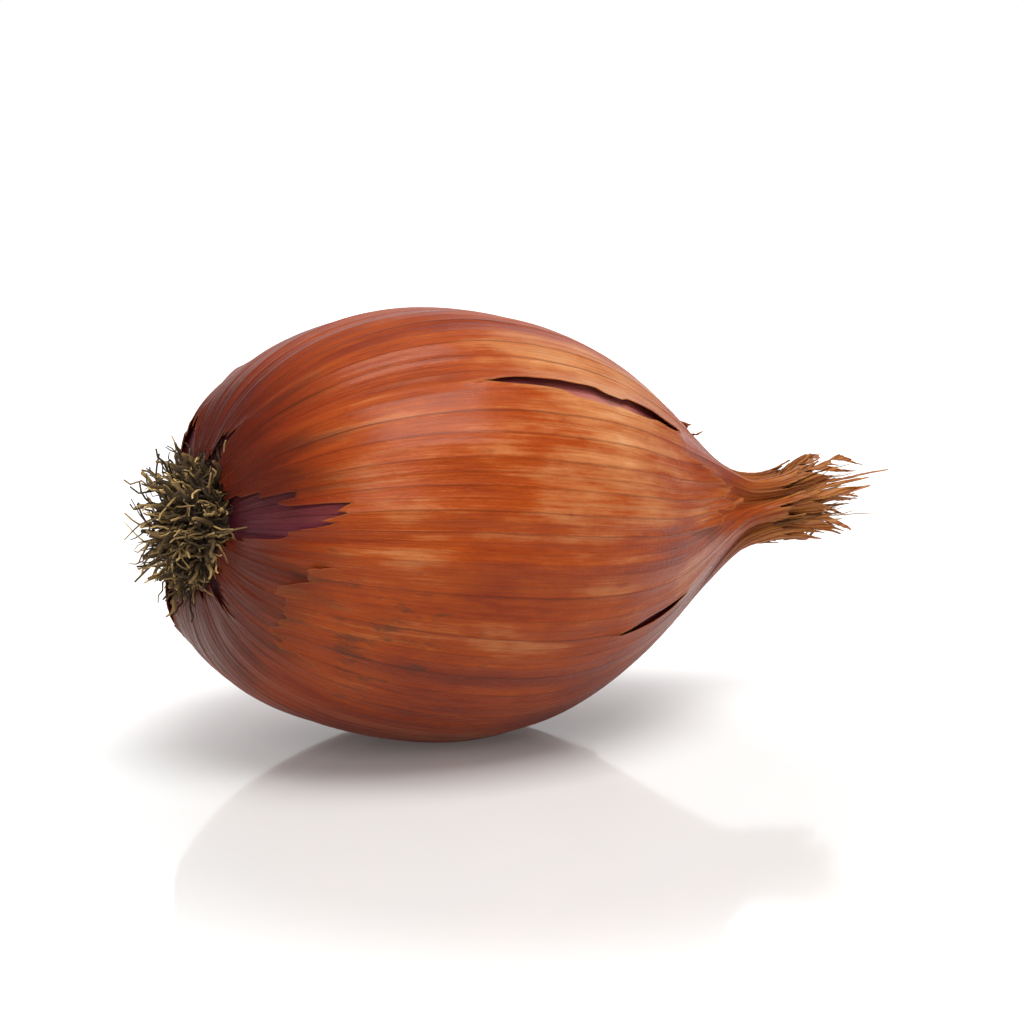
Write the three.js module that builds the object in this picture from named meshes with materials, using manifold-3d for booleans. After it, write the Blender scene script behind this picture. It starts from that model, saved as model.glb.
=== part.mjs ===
// A dry, copper-skinned shallot lying on its side, in millimetres.
//
// The bulb grew as one piece, so it is one solid. It is turned from a profile about its own axis, and its skin
// is then worked by formulas: an uneven oval section, a lengthwise furrow, fine ribs, and folds that twist into
// the dried neck. The short roots on the basal plate, the torn sheaths round the top of the neck and the lifted
// flakes of outer skin are joined to it.
//
// The bulb is made upright, in its growing frame: the basal plate at the origin, the neck up +Y, and angles
// round the axis counted from +Z towards +X. It is then laid down with its roots towards -X and its neck
// towards +X, resting on a small flat spot at z = 0, with its bounding box centred on the Z axis.

import * as THREE from "three";
import { mergeVertices } from "three/addons/utils/BufferGeometryUtils.js";
import Module from "manifold-3d";

const wasm = await Module();
wasm.setup();

// ---- Driving dimensions, in millimetres and degrees ----

const BULB_RADIUS = 18; // at the widest girth
const WIDEST_HEIGHT = 20; // of that girth, above the basal plate
const SHOULDER_HEIGHT = 48.5; // where the bulb has drawn in to its neck
const NECK_TOP = 53.5;
const NECK_RADIUS = 2.9;
const NECK_WAIST = 0.4; // how much thinner the neck is halfway up
const NECK_HOLLOW = 1.4; // depth of the dried hollow in the neck's top
const PLATE_RADIUS = 4.4;
const PLATE_RISE = 1.3; // of the basal plate's low dome, below the skin

const ROOT_END_POWER = 0.45; // under 0.5, a little squarer than an ellipse
const SHOULDER_POWER = 2.2; // how long the bulb stays full above its girth
const SHOULDER_DRAW = 1.35; // how softly it runs out into the neck

const OVAL = 0.035; // the section is this much wider one way and narrower the other
const OVAL_ANGLE = 70;
const LOBE = 0.016; // a three-cornered unevenness of the section
const LOBE_ANGLE = 25;
const NECK_LEAN = { aside: 5.5, angle: 35 }; // how far the neck's top leans off the axis, and which way
const ROOT_LEAN = { aside: 1.5, angle: 215 };

const FURROW_DEPTH = 0.7; // the soft furrow left by a sister bulb
const FURROW_ANGLE = 38;
const FURROW_WIDTH = 13; // in degrees, to where it has faded to a third

const RIB_COUNT = 24;
const RIB_HEIGHT = 0.08;
const RIB_WANDER = 1.1; // in radians of a rib's phase, so that the ribs are unevenly spaced

const FOLD_COUNT = 7; // papery folds that gather into the neck
const FOLD_DEPTH = 0.42;
const FOLD_TWIST = 75; // degrees that the folds turn up the neck
const FOLD_START = 33; // height where the skin begins to gather

const REST_PITCH = 9; // the neck end sinks by this much as the bulb lies at rest
const FLAT_DEPTH = 0.4; // how much the flat spot takes off the belly

const AROUND = 84; // facets round the bulb
const ROOT_END_ROWS = 10;
const SHOULDER_ROWS = 14;
const NECK_ROWS = 5;

const ROOTLETS = {
  count: 52,
  length: [1.4, 4.6],
  baseRadius: 0.45,
  tipRadius: 0.3,
  sunk: 1.2,
  splay: 66, // degrees off the axis for a rootlet at the plate's rim
  curl: 2.6,
  sides: 4,
  steps: 3,
  seed: 11,
};

// Torn sheaths round the neck and flakes of outer skin. Each is rooted at one height and lifts towards the
// other. Its spread round the axis narrows by its taper, and it turns by its twist, as it goes.
const SHEATHS = [
  { angle: 20, spread: 105, from: 49.5, to: 59.5, lift: 1.3, taper: 0.75, twist: 40 },
  { angle: 95, spread: 80, from: 50.5, to: 56.6, lift: 1.7, taper: 0.6, twist: 25 },
  { angle: 165, spread: 100, from: 49, to: 58.2, lift: 0.3, taper: 0.8, twist: 55 },
  { angle: 240, spread: 85, from: 50, to: 57.4, lift: 2.2, taper: 0.7, twist: 20 },
  { angle: 310, spread: 90, from: 50.5, to: 55.8, lift: 0.8, taper: 0.5, twist: 45 },
];
const FLAKES = [
  { angle: 66, spread: 34, from: 30, to: 43, lift: 1.6, taper: 0.45, twist: 6 },
  { angle: -28, spread: 30, from: 34, to: 45.5, lift: 1.2, taper: 0.5, twist: 10 },
  { angle: 112, spread: 42, from: 8, to: 1.4, lift: 0.8, taper: 0.3, twist: 0 },
  { angle: 205, spread: 32, from: 30, to: 41, lift: 1.1, taper: 0.4, twist: 8 },
];
const SKIN_THICKNESS = 0.6;
const SKIN_ROOT = 0.55; // how deep the rooted end is sunk
const TONGUE = 0.22; // how much shorter a sheath or flake is at its sides than down its middle

// ---- Small helpers ----

const radians = THREE.MathUtils.degToRad;
const smoothstep = THREE.MathUtils.smoothstep;
const lerp = THREE.MathUtils.lerp;

// Evenly spread numbers from 0 to 1, the same on every run.
function seededRandom(seed) {
  let state = seed;
  return () => {
    state = (state * 1664525 + 1013904223) % 4294967296;
    return state / 4294967296;
  };
}

function solidFrom(geometry) {
  const plain = geometry.clone();
  plain.deleteAttribute("normal");
  plain.deleteAttribute("uv");
  const merged = mergeVertices(plain, 1e-4);
  const mesh = new wasm.Mesh({
    numProp: 3,
    vertProperties: merged.attributes.position.array,
    triVerts: new Uint32Array(merged.index.array),
  });
  return new wasm.Manifold(mesh);
}

function geometryFrom(solid) {
  const { vertProperties, triVerts } = solid.getMesh();
  const geometry = new THREE.BufferGeometry();
  geometry.setAttribute("position", new THREE.BufferAttribute(vertProperties, 3));
  geometry.setIndex(new THREE.BufferAttribute(triVerts, 1));
  geometry.computeVertexNormals();
  return geometry;
}

// Moves every vertex of a geometry as shape(vertex) does.
function reshape(geometry, shape) {
  const position = geometry.attributes.position;
  const vertex = new THREE.Vector3();
  for (let i = 0; i < position.count; i++) {
    shape(vertex.fromBufferAttribute(position, i));
    position.setXYZ(i, vertex.x, vertex.y, vertex.z);
  }
  return geometry;
}

// ---- The skin ----

// The smooth profile: a blunt root end, a full shoulder drawing into the neck, and the neck's slight waist.
function profileRadius(height) {
  if (height <= WIDEST_HEIGHT) {
    const below = 1 - Math.max(height, 0) / WIDEST_HEIGHT;
    return lerp(PLATE_RADIUS, BULB_RADIUS, (1 - below * below) ** ROOT_END_POWER);
  }
  if (height <= SHOULDER_HEIGHT) {
    const above = (height - WIDEST_HEIGHT) / (SHOULDER_HEIGHT - WIDEST_HEIGHT);
    return lerp(NECK_RADIUS, BULB_RADIUS, (1 - above ** SHOULDER_POWER) ** SHOULDER_DRAW);
  }
  const climb = Math.min((height - SHOULDER_HEIGHT) / (NECK_TOP - SHOULDER_HEIGHT), 1);
  return NECK_RADIUS - NECK_WAIST * Math.sin(Math.PI * climb);
}

// How full the bulb is at this radius: 0 at the plate and the neck, 1 at the girth.
function fullness(radius) {
  return THREE.MathUtils.clamp((radius - PLATE_RADIUS) / (BULB_RADIUS - PLATE_RADIUS), 0, 1);
}

function furrow(angle) {
  const turn = angle - radians(FURROW_ANGLE);
  const off = Math.atan2(Math.sin(turn), Math.cos(turn)) / radians(FURROW_WIDTH);
  return -FURROW_DEPTH * Math.exp(-off * off);
}

function rib(angle) {
  return RIB_HEIGHT * Math.cos(RIB_COUNT * angle + RIB_WANDER * Math.sin(3 * angle + 0.8));
}

function neckFold(angle, height) {
  const climb = Math.max(height - FOLD_START, 0) / (NECK_TOP - FOLD_START);
  const twisted = angle + radians(FOLD_TWIST) * climb;
  return smoothstep(height, FOLD_START, SHOULDER_HEIGHT) * FOLD_DEPTH * Math.cos(FOLD_COUNT * twisted);
}

// The radius of the worked skin round the axis.
function skinRadius(angle, height) {
  const smooth = profileRadius(height);
  const full = fullness(smooth);
  const oval = OVAL * Math.cos(2 * (angle - radians(OVAL_ANGLE)));
  const lobe = LOBE * Math.cos(3 * (angle - radians(LOBE_ANGLE)));
  const section = smooth * (1 + full * (oval + lobe));
  return section + full * furrow(angle) + Math.sqrt(full) * rib(angle) + neckFold(angle, height);
}

// Sets target at this radius round the bulb's middle, which leans off the axis towards both ends.
function place(target, angle, height, radius) {
  const up = Math.max(height - WIDEST_HEIGHT, 0) / (NECK_TOP - WIDEST_HEIGHT);
  const down = Math.max(WIDEST_HEIGHT - height, 0) / WIDEST_HEIGHT;
  const neckward = NECK_LEAN.aside * up * up;
  const rootward = ROOT_LEAN.aside * down * down;
  const x = neckward * Math.sin(radians(NECK_LEAN.angle)) + rootward * Math.sin(radians(ROOT_LEAN.angle));
  const z = neckward * Math.cos(radians(NECK_LEAN.angle)) + rootward * Math.cos(radians(ROOT_LEAN.angle));
  return target.set(x + radius * Math.sin(angle), height, z + radius * Math.cos(angle));
}

// Heights of the rings of facets, closer together where the root end turns in.
function ringHeights() {
  const heights = [];
  for (let row = 0; row <= ROOT_END_ROWS; row++) {
    heights.push(WIDEST_HEIGHT * (1 - Math.cos((row / ROOT_END_ROWS) * (Math.PI / 2))));
  }
  for (let row = 1; row <= SHOULDER_ROWS; row++) {
    heights.push(lerp(WIDEST_HEIGHT, SHOULDER_HEIGHT, row / SHOULDER_ROWS));
  }
  for (let row = 1; row <= NECK_ROWS; row++) {
    heights.push(lerp(SHOULDER_HEIGHT, NECK_TOP, row / NECK_ROWS));
  }
  return heights;
}

function bulbSolid() {
  const rings = ringHeights();
  const profile = [
    new THREE.Vector2(0, -PLATE_RISE),
    new THREE.Vector2(PLATE_RADIUS * 0.6, -PLATE_RISE * 0.75),
    ...rings.map((height) => new THREE.Vector2(profileRadius(height), height)),
    new THREE.Vector2(NECK_RADIUS * 0.5, NECK_TOP - NECK_HOLLOW * 0.7),
    new THREE.Vector2(0, NECK_TOP - NECK_HOLLOW),
  ];
  const turned = new THREE.LatheGeometry(profile, AROUND);
  reshape(turned, (vertex) => {
    const radius = Math.hypot(vertex.x, vertex.z);
    const angle = Math.atan2(vertex.x, vertex.z);
    const onSkin = Math.abs(radius - profileRadius(vertex.y)) < 0.01 && vertex.y >= 0;
    place(vertex, angle, vertex.y, onSkin ? skinRadius(angle, vertex.y) : radius);
  });
  return solidFrom(turned);
}

// ---- The roots ----

// One short, dry rootlet along +Y from its sunk base, curling towards +Z.
function rootletGeometry(length, curl) {
  const { baseRadius, tipRadius, sunk, sides, steps } = ROOTLETS;
  const whole = length + sunk;
  const tube = new THREE.CylinderGeometry(tipRadius, baseRadius, whole, sides, steps);
  tube.translate(0, whole / 2 - sunk, 0);
  return reshape(tube, (vertex) => {
    const out = Math.max(vertex.y, 0) / ROOTLETS.length[1];
    vertex.z += curl * out * out;
  });
}

// Rootlets in a sunflower spiral over the basal plate, splayed more towards its rim.
function rootletSolids() {
  const random = seededRandom(ROOTLETS.seed);
  const goldenAngle = Math.PI * (3 - Math.sqrt(5));
  const base = new THREE.Vector3();
  const solids = [];
  for (let i = 0; i < ROOTLETS.count; i++) {
    const share = Math.sqrt((i + 0.5) / ROOTLETS.count);
    const angle = i * goldenAngle;
    const length = lerp(...ROOTLETS.length, random());
    const rootlet = rootletGeometry(length, ROOTLETS.curl * (random() - 0.25));
    rootlet.rotateY(random() * Math.PI * 2);
    rootlet.rotateX(Math.PI - radians(ROOTLETS.splay) * share * lerp(0.75, 1.1, random()));
    rootlet.rotateY(angle);
    place(base, angle, -PLATE_RISE * (1 - share * share), PLATE_RADIUS * 0.93 * share);
    rootlet.translate(base.x, base.y, base.z);
    solids.push(solidFrom(rootlet));
  }
  return solids;
}

// ---- Torn sheaths and lifted flakes ----

// A thin tongue laid along the skin: rooted at height from, and lifting to its free end at height to.
function tongueSolid({ angle, spread, from, to, lift, taper, twist }) {
  const handed = Math.sign(to - from);
  const slab = new THREE.BoxGeometry(1, 1, 1, 4, 5, 1);
  reshape(slab, (vertex) => {
    const along = (vertex.y + 0.5) * (1 - TONGUE * (2 * vertex.x) ** 2);
    const across = vertex.x * (1 - taper * along * along);
    const turn = radians(angle + handed * spread * across + twist * along);
    const height = lerp(from, to, along);
    const rise = lift * along * along - SKIN_ROOT * (1 - along);
    place(vertex, turn, height, skinRadius(turn, height) + rise + SKIN_THICKNESS * vertex.z);
  });
  return solidFrom(slab);
}

// ---- The shallot, laid down ----

// Lays the upright solid on its side, presses a flat spot into its belly, and centres it over z = 0.
function laidDown(upright) {
  const geometry = geometryFrom(upright);
  geometry.rotateZ(-Math.PI / 2);
  geometry.rotateY(radians(REST_PITCH));
  geometry.computeBoundingBox();
  geometry.translate(0, 0, -geometry.boundingBox.min.z - FLAT_DEPTH);

  const ground = new THREE.BoxGeometry(200, 200, 20);
  ground.translate(0, 0, -10);
  const rested = geometryFrom(solidFrom(geometry).subtract(solidFrom(ground)));
  rested.computeBoundingBox();
  const centre = rested.boundingBox.getCenter(new THREE.Vector3());
  return rested.translate(-centre.x, -centre.y, 0);
}

const joined = [...rootletSolids(), ...SHEATHS.map(tongueSolid), ...FLAKES.map(tongueSolid)];
const upright = joined.reduce((whole, piece) => whole.add(piece), bulbSolid());

const shallot = new THREE.Mesh(
  laidDown(upright),
  new THREE.MeshStandardMaterial({ color: 0xa85420, roughness: 0.38, metalness: 0 }),
);
shallot.name = "shallot";

const group = new THREE.Group();
group.add(shallot);

export default group;
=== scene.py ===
"""The looks of a dry copper shallot: two papery skins, its roots, its dried neck and its loose flakes.

Every shape is worked out round the bulb's own axis, in millimetres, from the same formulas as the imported
solid. A place on the skin is an angle round the axis and an arc, the distance along the skin from the basal
plate. It is then laid on its side in the row's frame and turned into metres.
"""

import math
from collections import namedtuple

import bpy
import numpy as np
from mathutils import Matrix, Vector
from mathutils.kdtree import KDTree


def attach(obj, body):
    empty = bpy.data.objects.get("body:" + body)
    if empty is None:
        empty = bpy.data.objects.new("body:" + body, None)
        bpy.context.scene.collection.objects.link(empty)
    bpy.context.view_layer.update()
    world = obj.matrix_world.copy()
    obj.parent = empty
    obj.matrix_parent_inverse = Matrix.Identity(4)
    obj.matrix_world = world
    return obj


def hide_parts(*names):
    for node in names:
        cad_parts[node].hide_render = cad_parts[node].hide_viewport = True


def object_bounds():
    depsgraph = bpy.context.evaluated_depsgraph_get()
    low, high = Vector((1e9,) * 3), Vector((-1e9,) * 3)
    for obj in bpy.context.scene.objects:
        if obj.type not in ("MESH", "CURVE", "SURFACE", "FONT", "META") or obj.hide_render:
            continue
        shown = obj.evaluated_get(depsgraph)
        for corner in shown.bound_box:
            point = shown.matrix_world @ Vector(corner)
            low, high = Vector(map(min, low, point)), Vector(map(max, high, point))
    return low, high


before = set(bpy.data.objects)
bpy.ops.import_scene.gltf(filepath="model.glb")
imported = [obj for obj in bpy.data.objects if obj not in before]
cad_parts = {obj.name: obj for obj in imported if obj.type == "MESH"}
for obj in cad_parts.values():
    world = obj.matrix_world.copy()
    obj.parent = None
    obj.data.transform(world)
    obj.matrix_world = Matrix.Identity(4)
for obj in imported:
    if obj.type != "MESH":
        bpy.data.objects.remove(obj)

CAD_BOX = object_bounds()

# ---- The bulb's form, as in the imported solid: millimetres and degrees ----

BULB_RADIUS = 18.0  # at the widest girth
WIDEST_HEIGHT = 20.0  # of that girth, above the basal plate
SHOULDER_HEIGHT = 48.5  # where the bulb has drawn in to its neck
NECK_TOP = 53.5
NECK_RADIUS = 2.9
NECK_WAIST = 0.4  # how much thinner the neck is halfway up
NECK_HOLLOW = 1.4  # depth of the dried hollow in the neck's top
PLATE_RADIUS = 4.4
PLATE_RISE = 1.3  # of the basal plate's low dome, below the skin
ROOT_END_POWER = 0.45  # under 0.5, a little squarer than an ellipse
SHOULDER_POWER = 2.2  # how long the bulb stays full above its girth
SHOULDER_DRAW = 1.35  # how softly it runs out into the neck
OVAL = 0.035  # the section is this much wider one way and narrower the other
OVAL_ANGLE = 70
LOBE = 0.016  # a three-cornered unevenness of the section
LOBE_ANGLE = 25
NECK_LEAN = 5.5  # how far the neck's top leans off the axis
NECK_LEAN_ANGLE = 35
ROOT_LEAN = 1.5  # and how far the root end does
ROOT_LEAN_ANGLE = 215
FURROW_DEPTH = 0.7  # the soft furrow left by a sister bulb
FURROW_ANGLE = 38
FURROW_WIDTH = 13
RIB_COUNT = 24
RIB_HEIGHT = 0.08
RIB_WANDER = 1.1  # in radians of a rib's phase
FOLD_COUNT = 7  # papery folds that gather into the neck
FOLD_DEPTH = 0.42
FOLD_TWIST = 75  # degrees that the solid's folds turn up the neck
FOLD_START = 33  # height where the skin begins to gather
REST_PITCH = 9  # the neck end sinks by this much as the bulb lies at rest
LAID_OFFSET = np.array([-27.3857, -0.2810, 20.3251])  # of the growing frame's origin in the row's frame

# A tongue of skin is rooted at height start and lifts towards height end. On the way its spread round the
# axis narrows by its taper, and it turns by its twist.
Form = namedtuple("Form", "angle spread start end lift taper twist")
SHEATHS = [
    Form(20, 105, 49.5, 59.5, 1.3, 0.75, 40),
    Form(95, 80, 50.5, 56.6, 1.7, 0.6, 25),
    Form(165, 100, 49, 58.2, 0.3, 0.8, 55),
    Form(240, 85, 50, 57.4, 2.2, 0.7, 20),
    Form(310, 90, 50.5, 55.8, 0.8, 0.5, 45),
]
FLAKES = [
    Form(66, 34, 30, 43, 1.6, 0.45, 6),
    Form(-28, 30, 34, 45.5, 1.2, 0.5, 10),
    Form(112, 42, 8, 1.4, 0.8, 0.3, 0),
    Form(205, 32, 30, 41, 1.1, 0.4, 8),
]
TONGUE = 0.22  # how much shorter a tongue is at its sides than down its middle
SKIN_ROOT = 0.55  # how deep a sheath's rooted end is sunk

ROOTLET_COUNT = 52
ROOTLET_LENGTHS = (1.4, 4.6)
ROOTLET_SPLAY = 66  # degrees off the axis for a rootlet at the plate's rim
ROOTLET_CURL = 2.6
ROOTLET_REACH = 0.93  # the share of the plate's radius that they grow on
ROOTLET_SEED = 11

# ---- The finer parts ----

VEIN_COUNT = 62
STRIP_COUNT = 2 * VEIN_COUNT  # strips of skin between a vein and the fainter one beside it
VEIN_HEIGHT = 0.07
STRIP_JOIN = 0.75  # the share of a strip's width where its own colour starts to run into the next one's
TWIST_EASE = 1.9  # how gently the fibres start to turn up the neck
FIBRE_TWIST = FOLD_TWIST - 360 / FOLD_COUNT  # brings the folds to the solid's own places at the neck's top
SKIN_THICKNESS = 0.09
UNDER_DEPTH = 0.2  # of the under-skin below the outer skin
UNDER_RELIEF = 0.75  # its unevenness, as a share of the outer skin's
UNDER_FLOOR = 0.12  # how far it stays off the table
INNER_FLOOR = 0.02  # how far a shell's inner face stays off the table
COLUMNS = 500  # of the skins' meshes
FINE_ROOTLET_COUNT = 430
ROOTLET_SUNK = 0.7  # into the plate
ROOTLET_STEPS = 11
ROOTLET_FLOOR = 0.3  # how far a rootlet stays off the table
INNER_SHEATH_COUNT = 8
FIBRE_COUNT = 70
FIBRE_STEPS = 9

# ---- Steady noise ----

rng = np.random.default_rng(20)
LATTICE_SIZE = 4096
LATTICE = np.random.default_rng(5).uniform(-1, 1, LATTICE_SIZE)
CELL_STRIDES = (73856093, 19349663, 83492791)
SEED_STRIDE = 7919
OCTAVE_STEP = 2.03  # how much finer each octave of noise is than the one before


def smoothstep(x, low, high):
    t = np.clip((x - low) / (high - low), 0, 1)
    return t * t * (3 - 2 * t)


def mix(a, b, t):
    return a + (b - a) * t


def lattice(index):
    """A steady number from -1 to 1 for each whole index. Callers spread theirs by strides of their own."""
    return LATTICE[index & (LATTICE_SIZE - 1)]


def noise(points, seed):
    """Smooth noise from -1 to 1 at points, an array of shape (..., 3)."""
    cell = np.floor(points).astype(np.int64)
    part = points - cell
    part = part * part * (3 - 2 * part)
    total = np.zeros(points.shape[:-1])
    for corner in np.ndindex(2, 2, 2):
        spot = (cell + np.array(corner)) * CELL_STRIDES
        index = (spot[..., 0] ^ spot[..., 1] ^ spot[..., 2]) + seed * SEED_STRIDE
        weight = np.where(np.array(corner) == 1, part, 1 - part).prod(axis=-1)
        total += lattice(index) * weight
    return total


def rough_noise(points, seed, octaves):
    """Noise with finer and weaker noise on it, from about -1 to 1."""
    weights = [0.5**k for k in range(octaves)]
    layers = (w * noise(points * OCTAVE_STEP**k, seed + k) for k, w in enumerate(weights))
    return sum(layers) / sum(weights)


def unit(vectors):
    return vectors / np.linalg.norm(vectors, axis=-1, keepdims=True)


def column(*parts):
    """Parts of the same shape, or numbers, as the coordinates of one array of points."""
    return np.stack(np.broadcast_arrays(*parts), axis=-1)


# ---- Places on the bulb ----


def profile_radius(height):
    """The smooth profile: a blunt root end, a full shoulder drawing in to the neck, and the neck's waist."""
    below = np.clip(1 - np.maximum(height, 0) / WIDEST_HEIGHT, 0, 1)
    root_end = mix(PLATE_RADIUS, BULB_RADIUS, (1 - below**2) ** ROOT_END_POWER)
    above = np.clip((height - WIDEST_HEIGHT) / (SHOULDER_HEIGHT - WIDEST_HEIGHT), 0, 1)
    shoulder = mix(NECK_RADIUS, BULB_RADIUS, (1 - above**SHOULDER_POWER) ** SHOULDER_DRAW)
    climb = np.clip((height - SHOULDER_HEIGHT) / (NECK_TOP - SHOULDER_HEIGHT), 0, 1)
    neck = NECK_RADIUS - NECK_WAIST * np.sin(np.pi * climb)
    radius = np.where(height <= WIDEST_HEIGHT, root_end, shoulder)
    return np.where(height > SHOULDER_HEIGHT, neck, radius)


def skin_radius(angle, height):
    """The radius of the solid's worked skin round the axis."""
    smooth = profile_radius(height)
    full = np.clip((smooth - PLATE_RADIUS) / (BULB_RADIUS - PLATE_RADIUS), 0, 1)
    oval = OVAL * np.cos(2 * (angle - np.radians(OVAL_ANGLE)))
    lobe = LOBE * np.cos(3 * (angle - np.radians(LOBE_ANGLE)))
    turn = angle - np.radians(FURROW_ANGLE)
    off = np.arctan2(np.sin(turn), np.cos(turn)) / np.radians(FURROW_WIDTH)
    furrow = -FURROW_DEPTH * np.exp(-(off**2))
    rib = RIB_HEIGHT * np.cos(RIB_COUNT * angle + RIB_WANDER * np.sin(3 * angle + 0.8))
    fold = smoothstep(height, FOLD_START, SHOULDER_HEIGHT) * FOLD_DEPTH
    fold = fold * np.cos(FOLD_COUNT * (fibre_angle(angle, height) + np.radians(FOLD_TWIST - FIBRE_TWIST)))
    return smooth * (1 + full * (oval + lobe)) + full * furrow + np.sqrt(full) * rib + fold


def fibre_angle(angle, height):
    """The angle that a fibre of the skin keeps. It turns round the neck, and starts to turn gently."""
    above = np.maximum(height - FOLD_START, 0) / (NECK_TOP - FOLD_START)
    return angle + np.radians(FIBRE_TWIST) * above**TWIST_EASE


def laid(angle, height, radius):
    """The point at this radius round the bulb's leaning middle, laid down, in millimetres."""
    up = np.maximum(height - WIDEST_HEIGHT, 0) / (NECK_TOP - WIDEST_HEIGHT)
    down = np.maximum(WIDEST_HEIGHT - height, 0) / WIDEST_HEIGHT
    neckward, rootward = NECK_LEAN * up * up, ROOT_LEAN * down * down
    neck_way, root_way = math.radians(NECK_LEAN_ANGLE), math.radians(ROOT_LEAN_ANGLE)
    side = neckward * math.sin(neck_way) + rootward * math.sin(root_way) + radius * np.sin(angle)
    front = neckward * math.cos(neck_way) + rootward * math.cos(root_way) + radius * np.cos(angle)
    return turned(column(side, height, front)) + LAID_OFFSET


def turned(vector):
    """A direction in the upright growing frame, in the frame of the bulb laid on its side."""
    pitch = math.radians(REST_PITCH)
    side, up, front = vector[..., 0], vector[..., 1], vector[..., 2]
    return column(
        up * math.cos(pitch) + front * math.sin(pitch),
        -side,
        front * math.cos(pitch) - up * math.sin(pitch),
    )


def profile_table(low_steps=800, high_steps=3000, top=70):
    """Heights up to well past the neck's shreds, closest where the root end turns in, and their arcs."""
    low = WIDEST_HEIGHT * (1 - np.cos(np.linspace(0, np.pi / 2, low_steps)))
    heights = np.concatenate([low, np.linspace(WIDEST_HEIGHT, top, high_steps)[1:]])
    steps = np.hypot(np.diff(heights), np.diff(profile_radius(heights)))
    return heights, np.concatenate([[0], np.cumsum(steps)])


PROFILE_HEIGHTS, PROFILE_ARCS = profile_table()


def height_at(arc):
    return np.interp(arc, PROFILE_ARCS, PROFILE_HEIGHTS)


def arc_at(height):
    return np.interp(height, PROFILE_HEIGHTS, PROFILE_ARCS)


NECK_ARC = float(arc_at(NECK_TOP))


def skin_point(angle, arc):
    height = height_at(arc)
    return laid(angle, height, skin_radius(angle, height))


def skin_normal(angle, arc):
    """The outward normal of the solid's skin, smoothed over half a millimetre."""
    turn, step = 0.02, 0.25
    along = skin_point(angle, arc + step) - skin_point(angle, np.maximum(arc - step, 0))
    around = skin_point(angle + turn, arc) - skin_point(angle - turn, arc)
    return unit(np.cross(around, along))


def grain(angle, arc, around, along):
    """Noise coordinates along the fibres: around counts cells a radian, and along millimetres a cell."""
    turn = fibre_angle(angle, height_at(arc))
    return column(np.cos(turn) * around, np.sin(turn) * around, arc / along)


# ---- Relief of the skins, in millimetres ----


def vein_phase(angle, arc):
    """The skin's angle counted in veins, which are unevenly spaced and waver a little."""
    turn = fibre_angle(angle, height_at(arc))
    wander = 1.5 * np.sin(3 * turn + 0.8) + 0.8 * np.sin(7 * turn + 2) + 0.5 * np.sin(13 * turn)
    return (VEIN_COUNT * turn + wander) / (2 * np.pi) + 0.16 * noise(grain(angle, arc, 3.0, 16.0), 31)


def picked(index, seed):
    """A steady number from -1 to 1 for each whole index round the skin."""
    return lattice((np.mod(index, STRIP_COUNT) * 53 + seed * 311).astype(int))


def by_strip(angle, arc, seed):
    """A number from -1 to 1 for each strip of skin between two veins, changing only where they meet."""
    phase = 2 * vein_phase(angle, arc)
    low = np.floor(phase)
    share = smoothstep(phase - low, STRIP_JOIN, 1.0)
    return mix(picked(low, seed), picked(low + 1, seed), share)


def vein_strength(phase):
    """How strong the nearest vein is, from 0.35 to 1."""
    return 0.35 + 0.65 * np.abs(picked(2 * np.round(phase), 1))


def veins(angle, arc):
    """Strength from 0 to 1 of the lengthwise veins, some stronger than others, with a fainter one between."""
    phase = vein_phase(angle, arc)
    off = phase - np.round(phase)
    main = vein_strength(phase) * np.exp(-((off / 0.15) ** 2))
    fainter = 0.35 * np.exp(-(((np.abs(off) - 0.5) / 0.13) ** 2))
    return main + fainter


def dents(angle, arc):
    """The broad hollows and blisters of the skin, from -1 to 1."""
    return noise(grain(angle, arc, 1.9, 15.0), 1)


def relief(angle, arc):
    """How far the skin's own unevenness stands it off the smooth form."""
    gather = smoothstep(height_at(arc), 30, 49)
    root = 1 - smoothstep(arc, 1, 13)
    broad = 0.20 * dents(angle, arc)
    crinkle = 0.10 * rough_noise(grain(angle, arc, 6.5, 10.0), 2, 3)
    pleats = gather * 0.2 * rough_noise(grain(angle, arc, 9.0, 22.0), 3, 3)
    pucker = root * 0.18 * rough_noise(grain(angle, arc, 7.0, 7.0), 4, 3)
    return broad + crinkle + pleats + pucker + VEIN_HEIGHT * veins(angle, arc)


# ---- Where the outer skin is torn away ----

# Notches that run up from the torn edge at the roots: angle and half width in degrees, length in mm.
NOTCHES = [(22, 12, 6), (76, 17, 13), (134, 11, 5.5), (-152, 16, 9), (-98, 12, 6.5), (-38, 17, 12)]
# Splits in the middle of the skin: angle in degrees, half width, height and half length in mm, and lean.
SPLITS = [
    (45, 0.8, 26, 10.5, 0.03),
    (109, 0.35, 33, 5.5, -0.04),
    (-62, 1.2, 24, 11, 0.04),
    (-126, 0.8, 31, 8, 0),
]
ROOT_TEAR = 0.9  # mm of skin gone round the roots between the notches
NECK_TEAR = 1.4  # mm below the neck's top where the outer skin ends
TEAR_JOIN = 0.82  # the share of a strip's width where a tear starts to step to the next strip's
STAIR = 2.4  # mm between the steps of a split's sides


def stepped(x, join, slant=0.0):
    """A number from about -1 to 1 for each whole step of x. It slants over the step, and jumps after join."""
    low = np.floor(x)
    share = smoothstep(x - low, join, 1.0)
    step = [lattice((low + k).astype(int) * 29) for k in (0, 1)]
    lean = [lattice((low + k).astype(int) * 37 + 911) * (x - low - k - 0.5) for k in (0, 1)]
    return mix(step[0] + slant * lean[0], step[1] + slant * lean[1], share)


def angle_off(angle, middle):
    """Degrees from the middle angle, from -180 to 180."""
    turn = angle - math.radians(middle)
    return np.degrees(np.arctan2(np.sin(turn), np.cos(turn)))


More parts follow.
